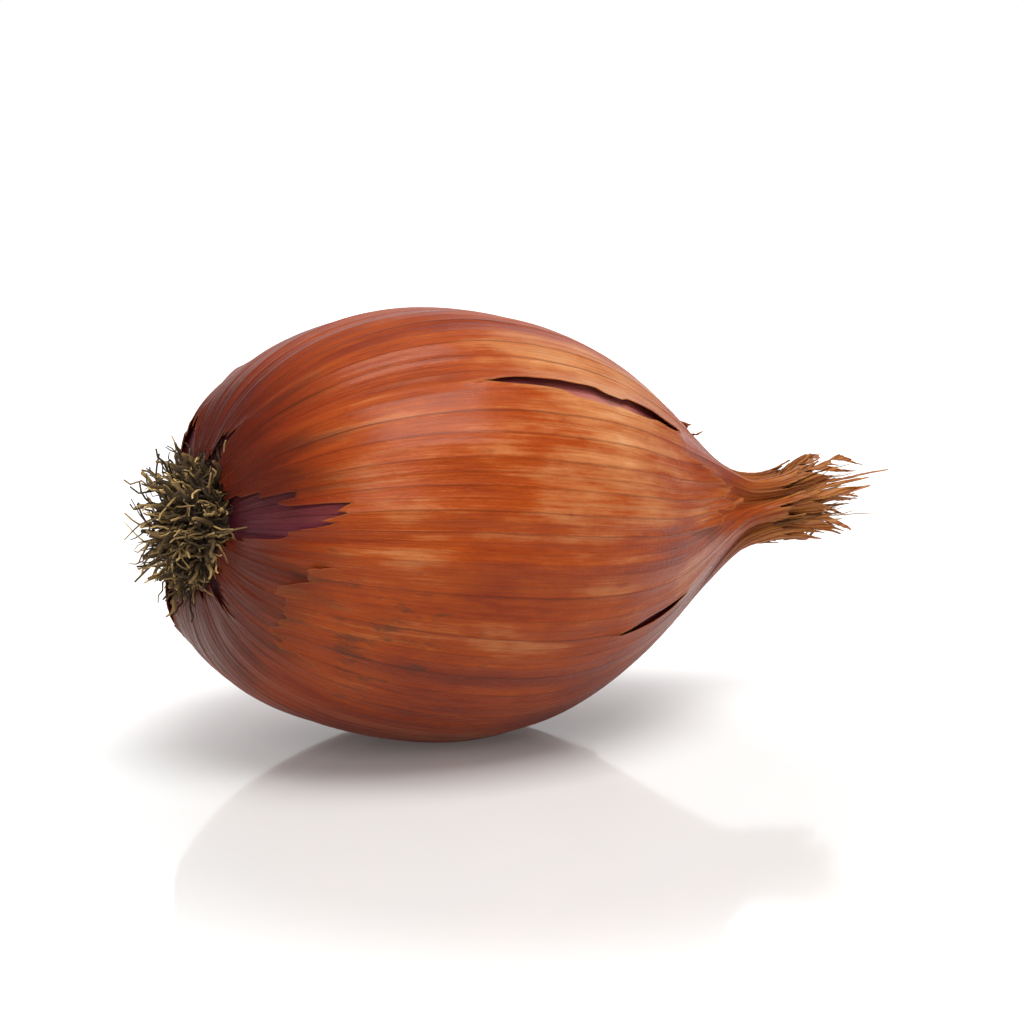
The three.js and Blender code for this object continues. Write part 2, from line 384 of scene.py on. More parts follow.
def torn(angle, arc):
    """Positive on the outer skin and negative where it is gone. Its tears follow the veins in steps."""
    turn = fibre_angle(angle, height_at(arc))
    phase = 2 * vein_phase(angle, arc)
    low = np.floor(phase)
    share = smoothstep(phase - low, TEAR_JOIN, 1.0)
    ragged = rough_noise(grain(angle, arc, 16.0, 3.0), 40, 3)

    def edges(strip):
        """How far up from the roots a strip is gone, and the tops of the strips at the neck."""
        draw, other = picked(strip, 5), picked(strip, 6)
        slant = picked(strip, 7) * (phase - strip - 0.5)
        reach = ROOT_TEAR + 0.5 * draw
        middle = 2 * np.pi * (strip + 0.5) / STRIP_COUNT
        for notch, half, length in NOTCHES:
            near = np.clip(1 - np.abs(angle_off(middle, notch)) / half, 0, 1)
            reach = np.maximum(reach, length * near**0.8 * (0.8 + 0.2 * other + 0.35 * slant))
        return reach, NECK_ARC - NECK_TEAR + 1.7 * draw + 1.5 * slant

    roots, tops = (mix(here, beyond, share) for here, beyond in zip(edges(low), edges(low + 1)))
    clear = np.minimum(arc - roots - 0.5 * ragged, tops - arc - 0.5 * ragged)
    for split, half_width, height, half_length, lean in SPLITS:
        up = arc - float(arc_at(height))
        across = np.radians(angle_off(turn, split)) * profile_radius(height_at(arc)) - lean * up
        stair = stepped(up / STAIR + np.where(across > 0, 17.3, 0.6) + split, 0.75)
        opened = half_width * np.clip(1 - (up / half_length) ** 2, 1e-3, 1) ** 0.8 * (1 + 0.4 * stair)
        beside, beyond = np.abs(across) - opened, np.abs(up) - half_length
        away = np.where(beyond > 0, np.hypot(np.maximum(beside, 0), beyond), beside)
        clear = np.minimum(clear, away + 0.08 * ragged)
    return clear


# ---- Mesh building ----

MM_PER_M = 1000
CUT_MARGIN = 0.03  # how far along an edge a cut stays off its ends
# A shell's outer face takes the left of its UV map, and its inner face a strip down the right.
UV_MARGIN = 0.01
OUTER_UV_SIZE = (0.78, 0.98)
INNER_UV_SIZE = (0.18, 0.98)
INNER_UV_CORNER = (0.81, UV_MARGIN)
UV_CAP = 0.05  # the share of a round piece's UV map that each of its ends takes


def grid(angles, arcs):
    """Coordinates and quads of a sheet of rows of arcs by columns of angles."""
    rows, columns = len(arcs), len(angles)
    coords = column(*np.meshgrid(angles, arcs)).reshape(-1, 2)
    corner = (np.arange(rows - 1)[:, None] * columns + np.arange(columns - 1)).ravel()
    quads = np.stack([corner, corner + 1, corner + columns + 1, corner + columns], axis=1)
    return coords, quads


def compact(coords, faces):
    """The coordinates that some face uses, and the faces renumbered to them."""
    used = np.unique(np.concatenate([np.array(face) for face in faces]))
    lookup = np.full(len(coords), -1)
    lookup[used] = np.arange(len(used))
    return coords[used], [tuple(lookup[list(face)].tolist()) for face in faces]


def clipped(coords, quads, field):
    """The part of a sheet where field is positive, its quads cut along the field's zero line. A cut stays a
    little off the corners, so that it leaves no sliver."""
    inside = field > 0
    kept = inside[quads]
    faces = [tuple(quad) for quad in quads[kept.all(axis=1)].tolist()]
    added, known = [], {}

    def cut(i, j):
        key = (min(i, j), max(i, j))
        if key not in known:
            share = min(max(field[i] / (field[i] - field[j]), CUT_MARGIN), 1 - CUT_MARGIN)
            known[key] = len(coords) + len(added)
            added.append(coords[i] + (coords[j] - coords[i]) * share)
        return known[key]

    for quad in quads[kept.any(axis=1) & ~kept.all(axis=1)].tolist():
        ring = []
        for i, j in zip(quad, quad[1:] + quad[:1]):
            if inside[i]:
                ring.append(i)
            if inside[i] != inside[j]:
                ring.append(cut(i, j))
        if len(ring) > 2:
            faces.append(tuple(ring))
    if added:
        coords = np.concatenate([coords, np.array(added)])
    return compact(coords, faces)


def welded(points, faces):
    """One point for each place, as indices into points, and the faces renumbered to them."""
    _, first, back = np.unique(np.round(points, 5), axis=0, return_index=True, return_inverse=True)
    back = back.ravel()
    return first, [tuple(back[list(face)].tolist()) for face in faces]


def borders(faces):
    """Directed edges that no face runs the other way."""
    directed = set()
    for face in faces:
        directed.update(zip(face, face[1:] + face[:1]))
    return [(i, j) for i, j in directed if (j, i) not in directed]


def make_object(name, points, faces, attributes, uvs, material, slot):
    """A finished piece. points are in mm; attributes maps names to a number or a vector for each point."""
    mesh = bpy.data.meshes.new(name)
    mesh.from_pydata((np.asarray(points) / MM_PER_M).tolist(), [], faces)
    mesh.update()
    for key, values in attributes.items():
        kind, field = ("FLOAT_VECTOR", "vector") if values.ndim == 2 else ("FLOAT", "value")
        layer = mesh.attributes.new(key, kind, "POINT")
        layer.data.foreach_set(field, np.ascontiguousarray(values, dtype=np.float32).ravel())
    layer = mesh.uv_layers.new(name="OFBake")
    layer.data.foreach_set("uv", np.asarray(uvs, dtype=np.float32).ravel())
    mesh.shade_smooth()
    mesh.materials.append(material)
    piece = bpy.data.objects.new(name, mesh)
    bpy.context.scene.collection.objects.link(piece)
    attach(piece, "root")
    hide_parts("shallot")


def largest_sheet(faces, count):
    """The faces that hang together in the largest sheet, without the crumbs that a cut leaves."""
    label = np.arange(count)
    edges = np.array([(i, j) for face in faces for i, j in zip(face, face[1:])])
    while True:
        lower = label.copy()
        np.minimum.at(lower, edges[:, 0], label[edges[:, 1]])
        np.minimum.at(lower, edges[:, 1], label[edges[:, 0]])
        lower = lower[lower]
        if (lower == label).all():
            break
        label = lower
    sheet = label[np.array([face[0] for face in faces])]
    names, sizes = np.unique(sheet, return_counts=True)
    return sheet == names[sizes.argmax()]


def edge_distances(points, faces):
    """The distance of each point from the sheet's open edge."""
    rim = sorted({i for edge in borders(faces) for i in edge})
    tree = KDTree(len(rim))
    for i in rim:
        tree.insert(points[i], i)
    tree.balance()
    return np.array([tree.find(point)[2] for point in points])


def thin_shell(name, coords, faces, place, stand, attributes_at, material, slot):
    """A closed papery shell. place(a, b) gives each point and its outward normal, in mm. stand(a, b, clear)
    gives how far the shell stands off there, where clear is the distance from its torn edge."""
    kept = largest_sheet(welded(place(*coords.T)[0], faces)[1], len(coords))
    coords, faces = compact(coords, [face for face, keep in zip(faces, kept) if keep])
    spread = (coords - coords.min(axis=0)) / np.ptp(coords, axis=0)
    smooth, normal = place(*coords.T)
    first, joined = welded(smooth, faces)
    count = len(first)
    a, b = coords[first].T
    clear = edge_distances(smooth[first], joined)
    outer = smooth[first] + normal[first] * stand(a, b, clear)[:, None]
    outer[:, 2] = np.maximum(outer[:, 2], 0.0)
    inner = outer - normal[first] * SKIN_THICKNESS
    inner[:, 2] = np.maximum(inner[:, 2], INNER_FLOOR)
    back = [tuple(i + count for i in reversed(face)) for face in joined]
    walls = [(j, i, i + count, j + count) for i, j in borders(joined)]
    outer_uv = spread * OUTER_UV_SIZE + UV_MARGIN
    inner_uv = spread * INNER_UV_SIZE + INNER_UV_CORNER
    place_of = {k: i for old, new in zip(faces, joined) for i, k in zip(old, new)}
    uvs = [outer_uv[i] for face in faces for i in face]
    uvs += [inner_uv[i] for face in faces for i in reversed(face)]
    uvs += [outer_uv[place_of[k % count]] for wall in walls for k in wall]
    values = attributes_at(a, b) | {"clear": clear}
    both = {key: np.concatenate([value, value]) for key, value in values.items()}
    points = np.concatenate([outer, inner])
    make_object(name, points, joined + back + walls, both, uvs, material, slot)


def round_faces(rings, columns):
    """Faces, and a UV for each of their corners, of rings of points with a point at each end. The two end
    points come last."""
    first, last, top = rings * columns, rings * columns + 1, (rings - 1) * columns
    faces, uvs = [], []

    def spot(i, j):
        return j / columns, UV_CAP + (1 - 2 * UV_CAP) * i / (rings - 1)

    for i in range(rings - 1):
        for j in range(columns):
            k = (j + 1) % columns
            low, high = i * columns, (i + 1) * columns
            faces.append((low + j, low + k, high + k, high + j))
            uvs += [spot(i, j), spot(i, j + 1), spot(i + 1, j + 1), spot(i + 1, j)]
    for j in range(columns):
        k = (j + 1) % columns
        middle = (j + 0.5) / columns
        faces += [(first, k, j), (last, top + j, top + k)]
        uvs += [(middle, 0.0), spot(0, j + 1), spot(0, j)]
        uvs += [(middle, 1.0), spot(rings - 1, j), spot(rings - 1, j + 1)]
    return faces, uvs


def closed_round(name, rows, start, end, attributes, material, slot):
    """A solid of rings of points, closed by a point at each end. rows is an array (rings, columns, 3)."""
    points = np.concatenate([rows.reshape(-1, 3), [start, end]])
    faces, uvs = round_faces(*rows.shape[:2])
    make_object(name, points, faces, attributes, uvs, material, slot)


# ---- Materials ----

# Colours are written rrggbb, each row from the darkest to the lightest.
TONE_STOPS = (0.30, 0.45, 0.56, 0.70, 0.86)
OUTER_TONES = ("611a0a", "80290a", "9c3e0d", "c27b4a", "e3b58b")
UNDER_TONES = ("4c1524", "6e2637", "8c3c42", "a9605a", "c08a7c")
STRAW_STOPS = (0.34, 0.48, 0.62)
STRAWS = ("46200d", "86461e", "b5743a")  # of the skins' dried ends
FIBRE_STOPS = (0.0, 0.35, 0.65, 1.0)
ROOT_TONES = ("1d140d", "4a3922", "8f7145", "cfae70")
NECK_TONES = ("4a2a14", "7a4c26", "a0713f", "c79a62")
PLATE_STOPS = (0.32, 0.5, 0.68)
PLATE_TONES = ("241a14", "4d3a2a", "8b7051")
PLATE_SOIL = "2a211b"
SOOT = "35221c"
TORN_EDGE = "a06a3c"
SHEEN = "ffc48c"

VECTOR_ATTRIBUTES = ("grain", "vein")
# Soft spots on the skin: angle and half width in degrees, height or arc and half length in mm.
# A paler patch of skin that also paints the glow of a highlight, on the upper front where the top softbox's
# highlight falls.
PALE_SPOT_AND_HIGHLIGHT = (52, 32, 27, 9)  # by height
SOOTY_SPOTS = [(118, 22, 15, 6), (-85, 30, 11, 6)]  # by arc


def colour(code):
    """A colour written as rrggbb, as Blender's linear values."""
    parts = [int(code[i : i + 2], 16) / 255 for i in (0, 2, 4)]
    return [c / 12.92 if c <= 0.04045 else ((c + 0.055) / 1.055) ** 2.4 for c in parts] + [1.0]


class Surface:
    """A material whose colour, roughness and fine bump come from nodes."""

    def __init__(self, name, **plain):
        self.material = bpy.data.materials.new(name)
        self.material.use_nodes = True
        self.tree = self.material.node_tree
        self.tree.nodes.clear()
        self.shader = self.node("ShaderNodeBsdfPrincipled", **plain)
        output = self.node("ShaderNodeOutputMaterial")
        self.tree.links.new(self.shader.outputs[0], output.inputs[0])

    def node(self, kind, settings=None, **inputs):
        node = self.tree.nodes.new(kind)
        for key, value in (settings or {}).items():
            setattr(node, key, value)
        for key, value in inputs.items():
            self.feed(node.inputs[key.replace("_", " ")], value)
        return node

    def feed(self, socket, value):
        if isinstance(value, bpy.types.NodeSocket):
            self.tree.links.new(value, socket)
        else:
            socket.default_value = value

    def attribute(self, name):
        node = self.node("ShaderNodeAttribute", {"attribute_name": name})
        return node.outputs["Vector" if name in VECTOR_ATTRIBUTES else "Fac"]

    def math(self, operation, *values, clamp=False):
        node = self.node("ShaderNodeMath", {"operation": operation, "use_clamp": clamp})
        for socket, value in zip(node.inputs, values):
            self.feed(socket, value)
        return node.outputs[0]

    def vector_math(self, operation, a, b):
        node = self.node("ShaderNodeVectorMath", {"operation": operation})
        self.feed(node.inputs[0], a)
        self.feed(node.inputs[1], b)
        return node.outputs["Value" if operation == "DISTANCE" else "Vector"]

    def noise(self, vector, scale, detail, roughness=0.55, stretch=None):
        if stretch:
            vector = self.vector_math("MULTIPLY", vector, stretch)
        plain = dict(Scale=scale, Detail=detail, Roughness=roughness)
        return self.node("ShaderNodeTexNoise", Vector=vector, **plain).outputs["Fac"]

    def ramp(self, value, stops, tones):
        node = self.node("ShaderNodeValToRGB", Fac=value)
        elements = node.color_ramp.elements
        while len(elements) < len(stops):
            elements.new(0.5)
        for element, place, tone in zip(elements, stops, tones):
            element.position = place
            element.color = colour(tone)
        return node.outputs["Color"]

    def range(self, value, low, high, to_low, to_high):
        limits = dict(From_Min=low, From_Max=high, To_Min=to_low, To_Max=to_high)
        node = self.node("ShaderNodeMapRange", {"interpolation_type": "SMOOTHSTEP"}, Value=value, **limits)
        return node.outputs["Result"]

    def blend(self, share, base, tone):
        """base with this share of tone, which is a colour code or a socket."""
        node = self.node("ShaderNodeMix", {"data_type": "RGBA"})
        colours = [socket for socket in node.inputs if socket.type == "RGBA"]
        self.feed(node.inputs["Factor"], share)
        self.feed(colours[0], base)
        self.feed(colours[1], colour(tone) if isinstance(tone, str) else tone)
        return next(socket for socket in node.outputs if socket.type == "RGBA")

    def bump(self, height, distance, strength):
        node = self.node("ShaderNodeBump", Height=height, Distance=distance, Strength=strength)
        self.feed(self.shader.inputs["Normal"], node.outputs[0])

    def finish(self, base, roughness):
        self.feed(self.shader.inputs["Base Color"], base)
        self.feed(self.shader.inputs["Roughness"], roughness)
        return self.material


def centred(s, value, weight, base):
    """base, with weight times what a noise value is over 0.5 added to it."""
    return s.math("MULTIPLY_ADD", s.math("SUBTRACT", value, 0.5), weight, base)


def vein_lines(s, streak, fine):
    """Strength of the lengthwise veins' colour: a crisp line at each vein and a fainter one between two."""
    turns = s.node("ShaderNodeSeparateXYZ", Vector=s.attribute("vein"))
    off = s.math("ABSOLUTE", s.math("ARCTAN2", turns.outputs["Y"], turns.outputs["X"]))
    off = centred(s, fine, 0.5, off)
    main = s.math("MULTIPLY", s.range(off, 0.12, 0.42, 1.0, 0.0), turns.outputs["Z"])
    fainter = s.range(off, 2.75, 3.05, 0.0, 0.30)
    return s.math("MULTIPLY", s.math("ADD", main, fainter), s.range(streak, 0.3, 0.6, 0.45, 1.0))


def skin_material(name, tones, stain, stain_share, vein_tone, smoothest):
    """Papery skin: its tones, the stain round its roots, its veins' colour and its least roughness."""
    s = Surface(
        name,
        Specular_IOR_Level=0.27,
        Specular_Tint=colour(SHEEN),
        Coat_Weight=0.18,
        Coat_Roughness=0.24,
        Subsurface_Weight=0.06,
        Subsurface_Radius=(0.0012, 0.0005, 0.0002),
        Subsurface_Scale=1.0,
    )
    fibres = s.attribute("grain")
    broad = s.noise(fibres, 0.13, 2.0)
    cloud = s.noise(fibres, 0.22, 5.0, 0.6, stretch=(1, 1, 3))
    streak = s.noise(fibres, 1.1, 4.0, 0.55, stretch=(1, 1, 0.6))
    fine = s.noise(fibres, 5.5, 3.0, 0.6, stretch=(1, 1, 0.35))
    across = s.noise(fibres, 2.4, 4.0, 0.6, stretch=(1, 1, 7))

    tone = s.attribute("tone")
    for part, weight in ((broad, 0.3), (cloud, 0.5), (streak, 0.24), (fine, 0.16)):
        tone = centred(s, part, weight, tone)
    base = s.ramp(tone, TONE_STOPS, tones)
    vein = vein_lines(s, streak, fine)
    base = s.blend(s.math("MULTIPLY", vein, 0.55, clamp=True), base, vein_tone)

    patchy = centred(s, streak, 1.0, centred(s, cloud, 1.6, s.attribute("stain")))
    base = s.blend(s.range(patchy, 0.2, 0.95, 0.0, stain_share), base, stain)
    smudge = s.noise(fibres, 0.9, 6.0, 0.7, stretch=(1, 1, 3))
    smudge = s.math("MULTIPLY_ADD", s.attribute("soot"), 0.16, smudge)
    base = s.blend(s.range(smudge, 0.60, 0.78, 0.0, 0.6), base, SOOT)

    dry = s.attribute("dry")
    base = s.blend(dry, base, s.ramp(streak, STRAW_STOPS, STRAWS))
    edge = s.range(s.attribute("clear"), 0.0, 0.14, 1.0, 0.0)
    edge = s.math("MULTIPLY", edge, s.range(s.attribute("stain"), 0.1, 0.8, 1.0, 0.3))
    base = s.blend(s.math("MULTIPLY", edge, s.range(fine, 0.38, 0.62, 0.1, 0.5)), base, TORN_EDGE)

    rough = s.range(streak, 0.35, 0.65, smoothest, smoothest + 0.12)
    rough = s.math("ADD", rough, s.math("MULTIPLY", dry, 0.25))
    ridges = s.math("MULTIPLY", streak, 0.4)
    for part, weight in ((fine, 0.5), (across, 0.5), (vein, 0.35)):
        ridges = s.math("MULTIPLY_ADD", part, weight, ridges)
    s.bump(ridges, 0.00016, 0.9)
    return s.finish(base, rough)


def fibre_material(name, tones, soil):
    """Dry, matt fibres in these tones, with soil on them."""
    s = Surface(name, Specular_IOR_Level=0.3)
    tone = s.attribute("tone")
    place = s.node("ShaderNodeTexCoord").outputs["Object"]
    mottle = s.noise(place, 900.0, 4.0, 0.65)
    base = s.ramp(tone, FIBRE_STOPS, tones)
    base = s.blend(s.range(mottle, 0.42, 0.7, 0.0, 0.6), base, soil)
    s.bump(mottle, 0.0002, 0.6)
    return s.finish(base, s.range(mottle, 0.3, 0.7, 0.75, 0.95))


def plate_material():
    """Corky, with soil in its hollows."""
    s = Surface("basal_plate", Specular_IOR_Level=0.3)
    place = s.node("ShaderNodeTexCoord").outputs["Object"]
    cork = s.noise(place, 1100.0, 5.0, 0.7)
    soil = s.noise(place, 350.0, 3.0, 0.6)
    base = s.ramp(cork, PLATE_STOPS, PLATE_TONES)
    base = s.blend(s.range(soil, 0.45, 0.7, 0.0, 0.7), base, PLATE_SOIL)
    s.bump(cork, 0.0004, 0.8)
    return s.finish(base, s.range(cork, 0.3, 0.7, 0.8, 0.95))


outer_material = skin_material("outer_skin", OUTER_TONES, "41090a", 0.85, "451306", 0.38)
under_material = skin_material("under_skin", UNDER_TONES, "2e0f18", 0.7, "360d1a", 0.30)
root_fibre = fibre_material("root_fibre", ROOT_TONES, "20170f")
neck_fibre = fibre_material("neck_fibre", NECK_TONES, "3f2513")
basal_plate = plate_material()


def patch(angle, along, spot):
    """1 in the middle of a soft spot on the skin, and less round it."""
    middle, half_width, centre, half_length = spot
    return np.exp(-((angle_off(angle, middle) / half_width) ** 2) - ((along - centre) / half_length) ** 2)


def skin_attributes(angle, arc):
    """What the skin's material reads at each point. "clear" is as for a skin with no torn edge near."""
    height = height_at(arc)
    phase = vein_phase(angle, arc)
    # Paler skin with a painted highlight on the upper front, where the top softbox's highlight falls.
    pale_and_highlight = patch(angle, height, PALE_SPOT_AND_HIGHLIGHT)
    return {
        "grain": grain(angle, arc, 18.0, 8.0),
        "vein": column(np.cos(2 * np.pi * phase), np.sin(2 * np.pi * phase), vein_strength(phase)),
        "tone": 0.5 + 0.035 * by_strip(angle, arc, 3) + 0.21 * pale_and_highlight + 0.05 * dents(angle, arc),
        "dry": smoothstep(height + 2.5 * noise(grain(angle, arc, 5.0, 1e3), 51), 43, 54),
        "stain": 1 - smoothstep(arc, 2.0, 17.0),
        "soot": sum(patch(angle, arc, spot) for spot in SOOTY_SPOTS),
        "clear": np.full_like(arc, 9.0),
    }


# ---- The skins ----

ANGLES = np.linspace(-np.pi, np.pi, COLUMNS + 1)


def skin_place(angle, arc):
    return skin_point(angle, arc), skin_normal(angle, arc)


def outer_stand(angle, arc, clear):
    """The outer skin's relief, with its torn edges curling up off the skin below."""
    curl = 0.55 + 0.45 * noise(grain(angle, arc, 4.0, 4.0), 61)
    lift = (0.45 * np.exp(-clear / 0.7) + 0.16 * np.exp(-clear / 3.0)) * curl
    flare = 0.35 * smoothstep(arc, NECK_ARC - 1, NECK_ARC + 3)
    return relief(angle, arc) + lift + flare


def skin_arcs(start, low, high, end, counts):
    """Arcs of a skin's rows from start to end, closer together below low and above high."""
    stretches = zip((start, low, high), (low, high, end), counts)
    rows = [np.linspace(here, beyond, count) for here, beyond, count in stretches]
    return np.concatenate([rows[0], rows[1][1:], rows[2][1:]])


def outer_skin():
    """The outer skin, torn at its ends and split."""
    coords, quads = grid(ANGLES, skin_arcs(0.3, 15, 50, NECK_ARC + 1, (30, 38, 20)))
    coords, faces = clipped(coords, quads, torn(*coords.T))
    looks = skin_attributes, outer_material, "shallot_skin"
    thin_shell("outer_skin", coords, faces, skin_place, outer_stand, *looks)


def extended(values):
    """Attributes of rings of points, with the first and the last repeated for the two end points."""
    return {key: np.concatenate([value, value[[0, -1]]]) for key, value in values.items()}


def under_skin():
    """The whole skin below the outer one, which shows through its tears."""
    arcs = skin_arcs(0, 16, 50, NECK_ARC + 0.3, (30, 38, 26))
    angle, arc = (part.ravel() for part in np.meshgrid(ANGLES[:-1], arcs))
    depth = UNDER_RELIEF * relief(angle, arc) - UNDER_DEPTH
    points = skin_point(angle, arc) + skin_normal(angle, arc) * depth[:, None]
    points[:, 2] = np.maximum(points[:, 2], UNDER_FLOOR)
    closed_round(
        "under_skin",
        points.reshape(len(arcs), COLUMNS, 3),
        laid(0.0, 0.6, 0.0),
        laid(0.0, NECK_TOP - NECK_HOLLOW, 0.0),
        extended(skin_attributes(angle, arc)),
        under_material,
        "shallot_skin",
    )


outer_skin()
under_skin()

# ---- The basal plate ----


def plate_rings(count=40, columns=120):
    """A low, corky dome with a puckered rim, tucked under the skin's torn edge."""
    share = np.linspace(0.04, 1.0, count)[:, None]
    turn = np.linspace(-np.pi, np.pi, columns + 1)[None, :-1]
    radius = share * (PLATE_RADIUS + 0.35)
    flat = column(radius * np.cos(turn), radius * np.sin(turn), 0.0 * turn)
    cork = 0.22 * rough_noise(flat * 1.3, 71, 4) + 0.10 * rough_noise(flat * 4.5, 72, 2)
    rim = 0.35 * smoothstep(share, 0.8, 1.0)
    height = -PLATE_RISE * (1 - share**2) - cork * (1 - rim) + rim
    return laid(turn + 0 * height, height, radius * (1 + 0.03 * np.cos(11 * turn + 1)))


closed_round(
    "basal_plate",
    plate_rings(),
    laid(0.0, -PLATE_RISE, 0.0),
    laid(0.0, 1.6, 0.0),
    {},
    basal_plate,
    "root_fibre",
)

# ---- Roots and fibres ----

SIDEWAYS = (0.31, 0.87, 0.39)  # a direction that no strand starts out in
DRAW_FACTOR, DRAW_STEP, DRAW_SIZE = 1664525, 1013904223, 4294967296


def tubes(name, strands, material, slot, sides):
    """Many thin closed tubes in one piece, darkened towards their roots by painted shade. A strand is an
    array of points, the radius at each, and a tone."""
    points, faces, tone, uvs = [], [], [], []
    cells = math.ceil(math.sqrt(len(strands)))
    cell = 0.9 / cells  # of the UV map
    for number, (path, radii, shade) in enumerate(strands):
        start = len(points)
        along = unit(np.gradient(path, axis=0))
        side = np.cross(along[0], SIDEWAYS)
        for point, way, size in zip(path, along, radii):
            side = side - way * side.dot(way)
            side /= np.linalg.norm(side)
            other = np.cross(way, side)
            for k in range(sides):
                turn = 2 * math.pi * k / sides
                points.append(point + size * (side * math.cos(turn) + other * math.sin(turn)))
        points += [path[0] - along[0] * radii[0] * 0.5, path[-1] + along[-1] * radii[-1] * 0.7]
        # Painted shade: each strand is darker towards its root, for the shade deep among the crowded strands.
        painted_shade_tone = shade * np.linspace(0.25, 1.0, len(path))
        tone += [*np.repeat(painted_shade_tone, sides), painted_shade_tone[0], painted_shade_tone[-1]]
        tube_faces, tube_uvs = round_faces(len(path), sides)
        faces += [tuple(start + i for i in face) for face in tube_faces]
        left, low = number % cells / cells, number // cells / cells
        uvs += [(left + cell * u, low + cell * v) for u, v in tube_uvs]
    make_object(name, points, faces, {"tone": np.array(tone)}, uvs, material, slot)


def spun(vector, axis, turn):
    """A vector turned about the X (0) or Y (1) axis of the growing frame."""
    x, y, z = vector
    c, s = math.cos(turn), math.sin(turn)
    return np.array((x, y * c - z * s, y * s + z * c) if axis == 0 else (x * c + z * s, y, z * c - x * s))


def steady_draws(seed):
    """The draws from 0 to 1 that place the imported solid's rootlets."""
    state = seed
    while True:
        state = (state * DRAW_FACTOR + DRAW_STEP) % DRAW_SIZE
        yield state / DRAW_SIZE


def rootlet_path(angle, share, length, curl, spin, splay, wriggle):
    """Points along one dry rootlet: out of the plate, curling to one side and wriggling a little."""
    ways = []
    for axis in ((0, 1, 0), (0, 0, 1), (1, 0, 0)):
        way = spun(np.array(axis, dtype=float), 1, spin)
        ways.append(turned(spun(spun(way, 0, math.pi - splay), 1, angle)))
    base = laid(angle, -PLATE_RISE * (1 - share * share), PLATE_RADIUS * ROOTLET_REACH * share)
    reach = np.linspace(-ROOTLET_SUNK, length, ROOTLET_STEPS)
    out = np.maximum(reach, 0) / ROOTLET_LENGTHS[1]
    loose = np.clip(out * 3, 0, 1)
    kinks = rough_noise(column(reach * 0.8, wriggle, 0.5), 81, 3) * loose
    swing = rough_noise(column(reach * 0.8, wriggle, 9.5), 82, 3) * loose
    path = base + np.outer(reach * (1 - 0.12 * abs(curl) * out), ways[0])
    path += np.outer(curl * out**2 + 0.9 * kinks, ways[1]) + np.outer(0.9 * swing, ways[2])
    path[:, 2] = np.maximum(path[:, 2], ROOTLET_FLOOR)
    return path


def solid_rootlets():
    """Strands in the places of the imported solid's rootlets, in a sunflower spiral."""
    draw = steady_draws(ROOTLET_SEED)
    golden = math.pi * (3 - math.sqrt(5))
    for i in range(ROOTLET_COUNT):
        share = math.sqrt((i + 0.5) / ROOTLET_COUNT)
        length = mix(*ROOTLET_LENGTHS, next(draw))
        curl = ROOTLET_CURL * (next(draw) - 0.25)
        spin = next(draw) * 2 * math.pi
        splay = math.radians(ROOTLET_SPLAY) * share * mix(0.75, 1.1, next(draw))
        path = rootlet_path(i * golden, share, length, curl, spin, splay, i * 3.7)
        radii = np.linspace(0.27, rng.uniform(0.10, 0.17), ROOTLET_STEPS)
        radii = radii * (1 + 0.2 * rng.uniform(-1, 1, ROOTLET_STEPS))
        yield path, radii, rng.uniform(0.2, 0.9)


def fine_rootlets():
    """The strands of finer rootlets among them, strewn at random."""
    for i in range(FINE_ROOTLET_COUNT):
        share = math.sqrt(rng.uniform(0, 1))
        length = rng.uniform(1.4, 5.2) * (1.15 - 0.35 * share)
        splay = math.radians(80) * share * rng.uniform(0.5, 1.25) + rng.uniform(0, 0.45)
        spin, curl = rng.uniform(0, 2 * math.pi), rng.uniform(-2.0, 5.5)
        angle = rng.uniform(0, 2 * math.pi)
        path = rootlet_path(angle, share, length, curl, spin, splay, i * 5.3 + 90)
        radii = np.linspace(rng.uniform(0.09, 0.20), rng.uniform(0.03, 0.08), ROOTLET_STEPS)
        yield path, radii, rng.uniform(0.1, 1.1)


tubes("root_tuft", [*solid_rootlets(), *fine_rootlets()], root_fibre, "root_fibre", sides=6)

# ---- Torn sheaths, loose flakes and neck fibres ----

TONGUE_MARGIN = 0.015  # how far inside its sheet a tongue's outline stays, as a share of it


def sheath_rise(lift, along):
    """How far a sheath stands off. It grows out through the skin."""
    return lift * along**2 - SKIN_ROOT * (1 - along)


def flake_rise(lift, along):
    """How far a flake stands off. It parts from the skin below it gently."""
    return lift * along**4 - 0.2 * (1 - along)


def tongue_form(form, u, v):
    """Where a point u across and v along a tongue is: its angle, its height and its share of the way out."""
    x = u - 0.5
    along = v * (1 - TONGUE * (2 * x) ** 2)
    across = x * (1 - form.taper * along**2)
    handed = math.copysign(1, form.end - form.start)
    turn = np.radians(form.angle + handed * form.spread * across + form.twist * along)
    return turn, mix(form.start, form.end, along), along


def tongue_place(form, rise, flutter, stand):
    """The place function of a tongue of skin with this form."""
    width = form.spread / 16

    def point(u, v):
        turn, height, along = tongue_form(form, u, v)
        ripple = flutter * (0.1 + v) * rough_noise(column(u * width, v * 0.9, form.angle * 0.37), 91, 3)
        uneven = relief(turn, arc_at(height))
        off = rise(form.lift, along) + stand + ripple + uneven
        return laid(turn, height, skin_radius(turn, height) + off)

    def place(u, v):
        step = 0.01
        around = point(u + step, v) - point(u - step, v)
        along = point(u, v + step) - point(u, v - step)
        return point(u, v), unit(np.cross(around, along))

    return place


